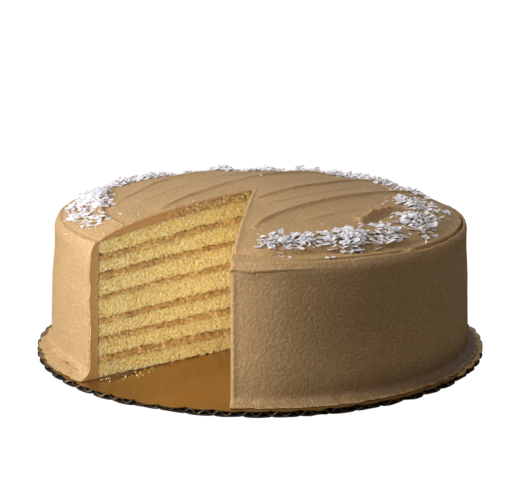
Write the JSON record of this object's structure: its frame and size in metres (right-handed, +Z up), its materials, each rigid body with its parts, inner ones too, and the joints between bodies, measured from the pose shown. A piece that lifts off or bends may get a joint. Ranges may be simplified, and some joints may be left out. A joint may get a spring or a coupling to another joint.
{
  "type": "salted caramel layer cake",
  "caption": "Round caramel layer cake with one slice cut out, salt flakes on the icing, on a scalloped gold cake board.",
  "frame": {"origin": "centre of the cake board's underside", "axes": "+Z up, and the missing slice opens towards -Y"},
  "size_m": [0.2282, 0.2282, 0.0843],
  "materials": {
    "board": "satin",
    "sponge": "matte",
    "filling": "satin",
    "icing": "satin"
  },
  "bodies": {
    "root": {"cake_board": "board", "sponge_1": "sponge", "sponge_2": "sponge", "sponge_3": "sponge", "sponge_4": "sponge", "sponge_5": "sponge", "sponge_6": "sponge", "sponge_7": "sponge", "filling_1": "filling", "filling_2": "filling", "filling_3": "filling", "filling_4": "filling", "filling_5": "filling", "filling_6": "filling", "icing": "icing"}
  },
  "joints": []
}
